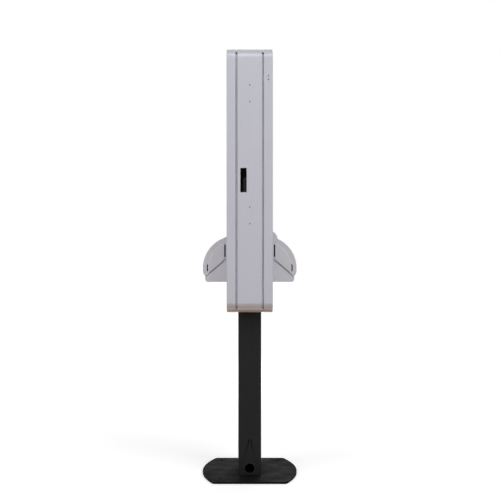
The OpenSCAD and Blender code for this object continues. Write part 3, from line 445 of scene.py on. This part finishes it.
def block(size, at, edge=0.0):
    """A box of that size round a point, with rounded edges."""
    bm = bmesh.new()
    bmesh.ops.create_cube(bm, size=1.0)
    bmesh.ops.scale(bm, vec=Vector(size), verts=bm.verts)
    if edge:
        bmesh.ops.bevel(bm, geom=bm.edges[:], offset=edge, segments=2, affect="EDGES", profile=0.5)
    bmesh.ops.translate(bm, vec=Vector(at), verts=bm.verts)
    return bm


def rod(start, end, radius, sides=20, edge=0.0):
    """A round bar between two points, with rounded rims."""
    a, b = Vector(start), Vector(end)
    bm = bmesh.new()
    bmesh.ops.create_cone(bm, cap_ends=True, segments=sides, radius1=radius, radius2=radius,
                          depth=(b - a).length)
    if edge:
        rims = [e for e in bm.edges if abs(e.verts[0].co.z - e.verts[1].co.z) < 1e-9]
        bmesh.ops.bevel(bm, geom=rims, offset=edge, segments=2, affect="EDGES", profile=0.5)
    turn = (b - a).to_track_quat("Z", "Y").to_matrix().to_4x4()
    bmesh.ops.transform(bm, matrix=Matrix.Translation((a + b) / 2) @ turn, verts=bm.verts)
    return bm


def skinned(loops):
    """A closed shape from loops of as many points each, one after the other, with a cap at both ends."""
    bm = bmesh.new()
    loops = [[bm.verts.new(p) for p in loop] for loop in loops]
    for a, b in zip(loops, loops[1:]):
        for i in range(len(a)):
            k = (i + 1) % len(a)
            bm.faces.new((a[i], a[k], b[k], b[i]))
    bm.faces.new(loops[-1])
    bm.faces.new(reversed(loops[0]))
    bmesh.ops.recalc_face_normals(bm, faces=bm.faces)
    return bm


def screw_head(at, out, radius, height, depth=HEAD_DEPTH):
    """A domed screw head with a hexagon recess, its seat at a point and its top along out."""
    rings, sides, dome_angle = 6, 24, 1.05
    rim, recess, wedge = height * 0.35, radius * 0.5, math.tau / 6
    profile = [(radius, 0.0)] + [(radius * math.cos(t), rim + height * 0.65 * math.sin(t))
                                 for t in (i / rings * dome_angle for i in range(rings + 1))]
    angles = [i * math.tau / sides for i in range(sides)]
    loops = [[(r * math.cos(a), r * math.sin(a), z) for a in angles] for r, z in profile]
    hexagon = [recess * math.cos(wedge / 2) / math.cos(a % wedge - wedge / 2) for a in angles]
    top = profile[-1][1]
    for z in (top, top - height * depth):
        loops.append([(r * math.cos(a), r * math.sin(a), z) for r, a in zip(hexagon, angles)])
    bm = skinned(loops)
    turn = Vector(out).to_track_quat("Z", "Y").to_matrix().to_4x4()
    bmesh.ops.transform(bm, matrix=Matrix.Translation(at) @ turn, verts=bm.verts)
    return bm


def smooth_line(points, steps=6):
    """Catmull-Rom curve through points."""
    knots = [Vector(p) for p in points]
    knots = [2 * knots[0] - knots[1]] + knots + [2 * knots[-1] - knots[-2]]
    line = []
    for i in range(1, len(knots) - 2):
        p0, p1, p2, p3 = knots[i - 1:i + 3]
        for k in range(steps):
            t = k / steps
            line.append(0.5 * ((2 * p1) + (p2 - p0) * t + (2 * p0 - 5 * p1 + 4 * p2 - p3) * t ** 2
                               + (3 * p1 - p0 - 3 * p2 + p3) * t ** 3))
    line.append(knots[-2])
    return line


def neighbours(line, i):
    """The neighbours of a line's point, or the point itself at the line's ends."""
    return line[max(i - 1, 0)], line[min(i + 1, len(line) - 1)]


def paper_strip(points):
    """A strip of paper in the printer. Its points are (out from the door's face, up from the console)."""
    line, half = smooth_line(points), PAPER_W / 2 - PAPER_PLAY
    x0, x1 = PRINTER_X - half, PRINTER_X + half
    rows = []
    for i, (out, up) in enumerate(line):
        a, b = neighbours(line, i)
        along = (b - a).normalized()
        back_out, back_up = out - along.y * PAPER_T, up + along.x * PAPER_T
        rows.append([(x, -FACE - o, CONSOLE_Z + u)
                     for x, o, u in ((x0, out, up), (x1, out, up), (x1, back_out, back_up),
                                     (x0, back_out, back_up))])
    return skinned(rows)


def tube(points, radius):
    """A round cable along a smooth line through points in space."""
    line, sides, loops = smooth_line(points, 8), 14, []
    for i, p in enumerate(line):
        a, b = neighbours(line, i)
        along = (b - a).normalized()
        across = along.cross(Vector((0, 1, 0))).normalized()
        over = along.cross(across)
        loops.append([p + radius * (math.cos(t) * across + math.sin(t) * over)
                      for t in (k * math.tau / sides for k in range(sides))])
    return skinned(loops)


def lettering(name, word, place, body, look):
    """A character in slight relief."""
    curve = bpy.data.curves.new(name, "FONT")
    curve.body = word
    curve.size = MARK_SIZE
    curve.extrude = MARK_DEPTH
    curve.align_x, curve.align_y = "CENTER", "CENTER"
    source = bpy.data.objects.new(name + "_source", curve)
    scene.collection.objects.link(source)
    bpy.context.view_layer.update()
    mesh = bpy.data.meshes.new_from_object(source)
    bpy.data.objects.remove(source)
    mesh.materials.clear()
    mesh.transform(place)
    return piece(name, mesh, body, look)


# Rounded copies of the CAD shapes
def door_rim(co):
    """Points on the outer edge of a door's face."""
    x = abs(co.x) - BODY_HALF_W + BODY_R
    z = max(BODY_LOW + BODY_R - co.z, co.z - BODY_HIGH + BODY_R)
    off = math.hypot(x, z) if x > 0 and z > 0 else max(x, z)
    return abs(abs(co.y) - FACE) < ON_FACE and abs(off - BODY_R) < ON_EDGE


def panel_rim(co):
    """Points on the outer arc of a side panel's outer face."""
    off = math.hypot(abs(co.y) - FACE - HOOD_CENTRE[0], co.z - CONSOLE_Z - HOOD_CENTRE[1])
    return abs(abs(co.x) - PANEL_X) < ON_FACE and abs(off - PANEL_R) < ON_EDGE


RIMS = {"door": (door_rim, 0.0042), "side_panels": (panel_rim, 0.0022)}
for name, rounding in ROUNDINGS.items():
    softened(name, *rounding, rim=RIMS.get(name.partition("_")[2]))


# Screws
def side_head(turn, at, radius=HEAD_R, depth=HEAD_DEPTH):
    """A screw head in a side face of the front's half, or turned to the rear's."""
    out = Vector((math.copysign(1, at[0]), 0, 0))
    return screw_head(turn @ Vector(at), turn.to_3x3() @ out, radius, HEAD_H, depth)


heads, post_heads = [], []
for side, turn in SIDES.items():
    heads += [side_head(turn, (BODY_HALF_W, 0, z)) for z in BAND_SCREW_ZS]
    post_heads.append(side_head(turn, (POST_HALF_W, 0, POST_SCREW_Z)))
    hinge_heads = [side_head(turn, (-BODY_HALF_W, -DOOR_MID, HINGE_Z + s * HINGE_SCREW_PITCH / 2),
                             HINGE_SCREW_R + HINGE_HEAD_MARGIN, HINGE_HEAD_DEPTH) for s in (-1, 1)]
    merged(f"{side}_hinge_screw_heads", hinge_heads, f"{side}_door", BLACK_STEEL)
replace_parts(merged("side_screw_heads", heads, "stand", SCREW), "fasteners")
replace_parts(merged("post_screw_heads", post_heads, "stand", BLACK_STEEL), "fasteners")
softened("fasteners", 0.0006, keep=lambda co: abs(co.x) < 0.15 and co.z > 0.6, label="bolts",
         look=BLACK_STEEL, slot="post_paint")
softened("fasteners", 0.0005, keep=lambda co: co.z < 0.1, label="base_screws", look=ZINC, slot="zinc")


# Equipment behind the doors
def on_circle(radius, angle, y=0):
    """A point on a circle round the Y axis."""
    return radius * math.cos(angle), y, radius * math.sin(angle)


def fan_guard():
    """Wire rings and four spokes round the origin, in the XZ plane."""
    inner, pitch, rings, sides, wire = 0.006, 0.0052, 5, 40, 0.0006
    spoke_from, spoke_to, spoke_y, spoke = 0.004, 0.031, 0.0005, 0.0007
    wires = []
    for ring_r in (inner + i * pitch for i in range(rings)):
        for k in range(sides):
            a, b = k * math.tau / sides, (k + 1) * math.tau / sides
            wires.append(rod(on_circle(ring_r, a), on_circle(ring_r, b), wire, 6))
    for k in range(4):
        a = math.pi / 4 + k * math.pi / 2
        wires.append(rod(on_circle(spoke_from, a, spoke_y), on_circle(spoke_to, a, spoke_y), spoke, 6))
    return wires


def supply_details():
    """The fan guard and the two sockets on the power supply's face."""
    low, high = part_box("power_supply")
    middle, guard_proud, socket_proud, socket_up = (low + high) / 2, 0.0004, 0.0006, 0.022
    merged("supply_fan_guard", fan_guard(), "stand", ZINC,
           Matrix.Translation((middle.x, high.y + guard_proud, middle.z)))
    sockets = []
    for x, size in ((-0.032, (0.024, 0.003, 0.018)), (0.036, (0.012, 0.003, 0.016))):
        sockets.append(block(size, (middle.x + x, high.y + socket_proud, low.z + socket_up), 0.0008))
    merged("supply_sockets", sockets, "stand", DARK)


def computer_details():
    """The row of ports and the lamp along the computer's lower front edge."""
    low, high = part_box("computer")
    port, count, pitch, proud, z = (0.014, 0.003, 0.006), 5, 0.022, 0.0004, low.z + 0.014
    first_x, led_x, led_r, led_in, led_out = low.x + 0.03, high.x - 0.014, 0.0016, 0.001, 0.0012
    ports = [block(port, (first_x + pitch * i, low.y - proud, z), 0.0006) for i in range(count)]
    merged("computer_ports", ports, "stand", ZINC)
    led = rod((led_x, low.y + led_in, z), (led_x, low.y - led_out, z), led_r, 16, 0.0004)
    merged("computer_led", [led], "stand", LED)


def plate_details():
    """The screw heads on both faces of the equipment plate."""
    xs, zs, radius, height = (-0.2, 0, 0.2), (0.80, 1.30, 1.72), 0.0035, 0.0018
    heads = [screw_head((x, s * PLATE_Y, z), (0, s, 0), radius, height)
             for x in xs for z in zs for s in (-1, 1)]
    merged("plate_screw_heads", heads, "stand", ZINC)


def loom_cable(x, side, box_low, end):
    """A cable from a box on the plate, down the plate and through the body's underside into the post."""
    run, top = side * LOOM_Y, box_low + 0.001
    start = top - LOOM_DROP
    steps = max(0, round((start - LOOM_BEND) / LOOM_STEP))
    points = [(x, off * run, top - down) for off, down in LOOM_START]
    if steps:
        points += [(x, run, start - (start - LOOM_BEND) * i / steps) for i in range(steps + 1)]
    points += [(x + (end - x) * share, off * run, z) for share, off, z in LOOM_TURN]
    return tube(points, LOOM_R)


def looms():
    """The cables from the computer and the power supply, and the clips that tie them to the plate."""
    computer_low, supply_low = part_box("computer")[0].z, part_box("power_supply")[0].z
    data = [loom_cable(x, -1, computer_low, end) for x, end in ((-0.056, -0.0072), (-0.049, 0.0))]
    power = [loom_cable(-0.042, -1, computer_low, 0.0072), loom_cable(0.036, 1, supply_low, 0.0038),
             loom_cable(0.028, 1, supply_low, -0.0038)]
    merged("data_cables", data, "stand", SHEATH_GREY)
    merged("power_cables", power, "stand", SHEATH_BLACK)
    clip_d = LOOM_Y + LOOM_R
    clips = [block((CLIP_W, clip_d, CLIP_TALL), (CLIP_X, -PLATE_Y - clip_d / 2, z), 0.0012) for z in CLIP_ZS]
    merged("cable_clips", clips, "stand", CLIP)


for details in (supply_details, computer_details, plate_details, looms):
    details()


# Each side
def on_pad():
    """From the terminal's own frame, with its face along X and Y, to the front's place."""
    out = HOOD_CENTRE[0] + PAD_DIST * math.cos(PAD_ELEV)
    up = HOOD_CENTRE[1] + PAD_DIST * math.sin(PAD_ELEV)
    lean = Matrix.Rotation(math.pi / 2 - PAD_ELEV, 4, "X")
    return Matrix.Translation((PAD_X, -FACE - out, CONSOLE_Z + up)) @ lean


def key_details(side, turn):
    """The characters on the keys."""
    for i, key in enumerate(KEYS):
        x = (i % 3 - 1) * KEY_PITCH[0]
        y = KEYS_TOP - (i // 3) * KEY_PITCH[1]
        place = turn @ on_pad() @ Matrix.Translation((x, y, KEY_PROUD + MARK_LIFT))
        mark, look = KEY_MARKS.get(key, key), MARK_PALE if key in KEY_MARKS else MARK_DARK
        lettering(f"{side}_mark_{key}", mark, place, f"{side}_key_{key}_cap", look)


def terminal_details(side, turn):
    """The rim round the terminal's screen, the lips of its card slot and its lamps."""
    place, body, lift = turn @ on_pad(), f"{side}_hood", 0.0004
    screen_y, half_h, half_w, bar_w, bar_h = 0.041, 0.0195, 0.0324, 0.0012, 0.0016
    slot_y, slot_half, lamp_y, lamp_xs = -0.057, 0.0021, 0.0622, (-0.012, -0.004, 0.004, 0.012)
    across, up = 2 * half_w + bar_w, 2 * half_h - bar_w
    rim = [block((across, bar_w, bar_h), (0, screen_y + s * half_h, lift), 0.0004) for s in (1, -1)]
    rim += [block((bar_w, up, bar_h), (s * half_w, screen_y, lift), 0.0004) for s in (-1, 1)]
    merged(f"{side}_terminal_screen_rim", rim, body, DARK, place)
    guides = [block((0.060, 0.0010, 0.0014), (0, slot_y + s * slot_half, lift), 0.0003) for s in (-1, 1)]
    merged(f"{side}_card_guides", guides, body, ZINC, place)
    lamps = [rod((x, lamp_y, -0.0004), (x, lamp_y, 0.0005), 0.0012, 14, 0.0003) for x in lamp_xs]
    merged(f"{side}_terminal_lamps", lamps, body, LED, place)


def printer_details(side, turn):
    """The paper's run from the roll and its end in the slot, the roll's collars and the platen roller."""
    body, collar_gap, collar_t, collar_r = f"{side}_door", 0.0006, 0.0006, 0.0105
    platen_out, platen_up, platen_r = 0.0150, 0.1570, 0.0048
    runs = {"web": [(0.0034, 0.0510), (0.0052, 0.0620), (0.0072, 0.0735), (0.0088, 0.0838)],
            "end": [(0.0090, 0.1542), (0.0092, 0.1600), (0.0090, 0.1680)]}
    for label, points in runs.items():
        merged(f"{side}_paper_{label}", [paper_strip(points)], body, PAPER, turn)
    collars = []
    for end in (-1, 1):
        x = PRINTER_X + end * (PAPER_W / 2 + collar_gap)
        rims = [(x + s * collar_t / 2, -FACE - ROLL_CENTRE[0], CONSOLE_Z + ROLL_CENTRE[1]) for s in (-1, 1)]
        collars.append(rod(*rims, collar_r, 28))
    merged(f"{side}_spindle_collars", collars, body, DARK, turn)
    half = PAPER_W / 2 - PAPER_PLAY
    ends = [(PRINTER_X + s * half, -FACE - platen_out, CONSOLE_Z + platen_up) for s in (-1, 1)]
    platen = rod(*ends, platen_r, 28, 0.0006)
    merged(f"{side}_platen_roller", [platen], body, RUBBER, turn)


def tear_edge(side, turn):
    """A thin toothed strip along the receipt slot."""
    count, thickness, low, tall, root = 42, 0.0005, 0.0008, 0.0006, 0.0040
    from_slot, over_hood = 0.0002, 0.002
    pitch = RECEIPT_W / count
    out = RECEIPT_OUT - RECEIPT_D / 2 + from_slot
    up = HOOD_CENTRE[1] + math.sqrt((HOOD_R + over_hood) ** 2 - (out - HOOD_CENTRE[0]) ** 2)
    outline = []
    for i in range(count):
        x = PRINTER_X - RECEIPT_W / 2 + i * pitch
        outline += [(x, up - low), (x + pitch / 2, up + tall)]
    outline.append((PRINTER_X + RECEIPT_W / 2, up - low))
    teeth = bmesh.new()
    rings = []
    for depth in (out, out + thickness):
        top = [teeth.verts.new((x, -FACE - depth, CONSOLE_Z + z)) for x, z in outline]
        bottom = [teeth.verts.new((x, -FACE - depth, CONSOLE_Z + up - root)) for x, _ in outline]
        for k in range(len(outline) - 1):
            teeth.faces.new((bottom[k], bottom[k + 1], top[k + 1], top[k]))
        rings.append((top, bottom))
    (t0, b0), (t1, b1) = rings
    for k in range(len(outline) - 1):
        teeth.faces.new((t0[k], t0[k + 1], t1[k + 1], t1[k]))
        teeth.faces.new((b0[k + 1], b0[k], b1[k], b1[k + 1]))
    for k in (0, -1):
        teeth.faces.new((t0[k], b0[k], b1[k], t1[k]))
    bmesh.ops.recalc_face_normals(teeth, faces=teeth.faces)
    merged(f"{side}_tear_edge", [teeth], f"{side}_hood", ZINC, turn, smooth=20)


def display_details(side, turn):
    """The screws, vents and sockets on the display's back."""
    lo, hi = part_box("front_display")
    back, middle, body = hi.y, (lo.z + hi.z) / 2, f"{side}_door"
    rim_back, mount, rim_x, rim_zs = back - 0.012, (0.12, 0.080), 0.205, (-0.34, -0.12, 0.12, 0.34)
    places = [(s * mount[0], back, middle + t * mount[1]) for s in (-1, 1) for t in (-1, 1)]
    places += [(s * rim_x, rim_back, middle + z) for s in (-1, 1) for z in rim_zs]
    screws = [screw_head(at, (0, 1, 0), 0.003, 0.0014) for at in places]
    merged(f"{side}_display_screws", screws, body, SCREW, turn)
    vent, vent_pitch, vent_z = (0.16, 0.0008, 0.0024), 0.008, middle - 0.03
    plug, plug_pitch, plug_x, plug_z = (0.022, 0.006, 0.008), 0.03, 0.05, middle - 0.0925
    vents = [block(vent, (0, back + 0.0002, vent_z + vent_pitch * i), 0.0003) for i in range(8)]
    merged(f"{side}_display_vents", vents, body, DARK, turn)
    plugs = [block(plug, (plug_x - plug_pitch * i, back - 0.006, plug_z), 0.0008) for i in range(3)]
    merged(f"{side}_display_sockets", plugs, body, DARK, turn)


def latch_details(side, turn):
    """The grip ribs on the latch's thumb piece."""
    rib, x, first, pitch = (0.0008, 0.0090, 0.0014), THUMB_X + 0.0001, THUMB_LOW + 0.012, 0.0042
    ribs = [block(rib, (x, -THUMB_Y, first + pitch * i), 0.0003) for i in range(9)]
    merged(f"{side}_latch_grip", ribs, f"{side}_latch", LATCH, turn)


def shade_sheets(side, turn):
    """Thin black sheets behind the slots in the hood's cheeks: a painted shade that stands in for the dark
    inside of the hood.
    """
    plates = []
    out, up = FACE + HOOD_CENTRE[0], CONSOLE_Z + HOOD_CENTRE[1]
    for end in (-1, 1):
        x = end * (CHEEK_X + SHADE_SHEET_T / 2)
        middle = (x, -FACE - SHADE_SHEET_AT[0], CONSOLE_Z + SHADE_SHEET_AT[1])
        plates.append(block((SHADE_SHEET_T, SHADE_SHEET_SPAN, SHADE_SHEET_TALL), middle))
        corners = [(ARC_INNER, -SHADE_SHEET_T / 2), (ARC_OUTER, -SHADE_SHEET_T / 2), (ARC_OUTER, SHADE_SHEET_T / 2),
                   (ARC_INNER, SHADE_SHEET_T / 2)]
        angles = [math.radians(ARC_FROM + (ARC_TO - ARC_FROM) * i / ARC_STEPS) for i in range(ARC_STEPS + 1)]
        plates.append(skinned([[(x + dx, -out - r * math.cos(t), up + r * math.sin(t)) for r, dx in corners]
                               for t in angles]))
    merged(f"{side}_slot_shade_sheets", plates, f"{side}_hood", SLOT_SHADE, turn)


SIDE_DETAILS = (key_details, terminal_details, printer_details, tear_edge, display_details, latch_details,
                shade_sheets)
for side, turn in SIDES.items():
    for details in SIDE_DETAILS:
        details(side, turn)


# Floor, backdrop and light
FLOOR_BOUNCE, FLOOR_SEEN, FLOOR_HALF, FLOOR_Z = (0.42, 0.25, 0.135), (0.80, 0.80, 0.80), 30, -0.0002
FLOOR_GLOW = (0.42, 0.80, 0.6, 4.4)              # strength near and far, and from which distance to which
SKY_HORIZON, SKY_ZENITH, SKY_STRENGTH = (0.95, 0.985, 1.06), (0.13, 0.12, 0.10), 0.85
SKY_RANGE = (0.0, 1.0, 0.05, 0.9)                # from horizon to zenith, and from which height to which
# Each lamp's name, place, aim, size, power and colour, and whether gloss mirrors it
LAMPS = (("key", (3.2, 2.6, 3.6), (0, 0, 1.2), 2.4, 85, (1, 1, 1), False),
         ("fill", (2.8, -3.2, 2.6), (0, 0, 1.1), 2.6, 60, (1, 1, 1), False),
         ("high", (2.3, 0.0, 4.1), (0.2, 0, 1.7), 0.9, 13, (1.0, 0.95, 0.86), True),
         ("back", (-3.4, 0.6, 2.2), (0, 0, 1.2), 2.6, 50, (1, 1, 1), True))


def sees_background(tree):
    """1 for camera, glossy and transmission rays, which see the white background, and 0 for other light."""
    path = tree.nodes.new("ShaderNodeLightPath")
    seen = path.outputs["Is Camera Ray"]
    for ray in ("Is Glossy Ray", "Is Transmission Ray"):
        seen = maths(tree, "MAXIMUM", seen, path.outputs[ray])
    return seen


def picked(tree, fac, a, b):
    """One shader or the other."""
    pick = tree.nodes.new("ShaderNodeMixShader")
    for socket, source in zip(pick.inputs, (fac, a.outputs[0], b.outputs[0])):
        tree.links.new(source, socket)
    return pick.outputs[0]


def floor_material():
    """Pale floor that keeps the object's shadow. Out of the lamps' reach it glows more, to stay white."""
    mat = bpy.data.materials.new("pale_floor")
    mat.use_nodes = True
    tree = mat.node_tree
    tree.nodes.clear()
    out = tree.nodes.new("ShaderNodeOutputMaterial")
    seen = sees_background(tree)
    diffuse = node(tree, "ShaderNodeBsdfDiffuse")
    tree.links.new(mixed(tree, seen, FLOOR_BOUNCE, FLOOR_SEEN), diffuse.inputs["Color"])
    far = node(tree, "ShaderNodeVectorMath", operation="LENGTH")
    tree.links.new(tree.nodes.new("ShaderNodeTexCoord").outputs["Object"], far.inputs[0])
    glow = node(tree, "ShaderNodeEmission")
    tree.links.new(spread(tree, far.outputs["Value"], *FLOOR_GLOW), glow.inputs["Strength"])
    black = node(tree, "ShaderNodeEmission", Strength=0.0)
    add = tree.nodes.new("ShaderNodeAddShader")
    tree.links.new(diffuse.outputs[0], add.inputs[0])
    tree.links.new(picked(tree, seen, black, glow), add.inputs[1])
    tree.links.new(add.outputs[0], out.inputs["Surface"])
    return mat


def studio_world():
    """White to be seen, and softly graded from the horizon to a dark zenith for the light that it sends."""
    world = bpy.data.worlds.new("studio")
    world.use_nodes = True
    tree = world.node_tree
    tree.nodes.clear()
    out = tree.nodes.new("ShaderNodeOutputWorld")
    soft = node(tree, "ShaderNodeBackground", Strength=SKY_STRENGTH)
    height = spread(tree, coordinates(tree, "Generated")["Z"], *SKY_RANGE)
    tree.links.new(mixed(tree, height, SKY_HORIZON, SKY_ZENITH), soft.inputs["Color"])
    white = node(tree, "ShaderNodeBackground", Color=(1, 1, 1, 1), Strength=1.0)
    tree.links.new(picked(tree, sees_background(tree), soft, white), out.inputs["Surface"])
    return world


def lamp(name, at, aim, size, power, color, glossy):
    """A square lamp that points at a place."""
    data = bpy.data.lights.new(name, "AREA")
    data.shape = "RECTANGLE"
    data.size, data.size_y = size, size
    data.energy = power
    data.color = color
    made = bpy.data.objects.new(name, data)
    scene.collection.objects.link(made)
    made.location = at
    made.rotation_euler = (Vector(aim) - Vector(at)).to_track_quat("-Z", "Y").to_euler()
    made.visible_glossy = glossy


floor_mesh = bpy.data.meshes.new("floor")
corners = [(x * FLOOR_HALF, y * FLOOR_HALF, 0) for x, y in ((-1, -1), (1, -1), (1, 1), (-1, 1))]
floor_mesh.from_pydata(corners, [], [(0, 1, 2, 3)])
floor_mesh.materials.append(floor_material())
floor = bpy.data.objects.new("floor", floor_mesh)
scene.collection.objects.link(floor)
floor.location.z = FLOOR_Z
scene.world = studio_world()
for row in LAMPS:
    lamp(*row)
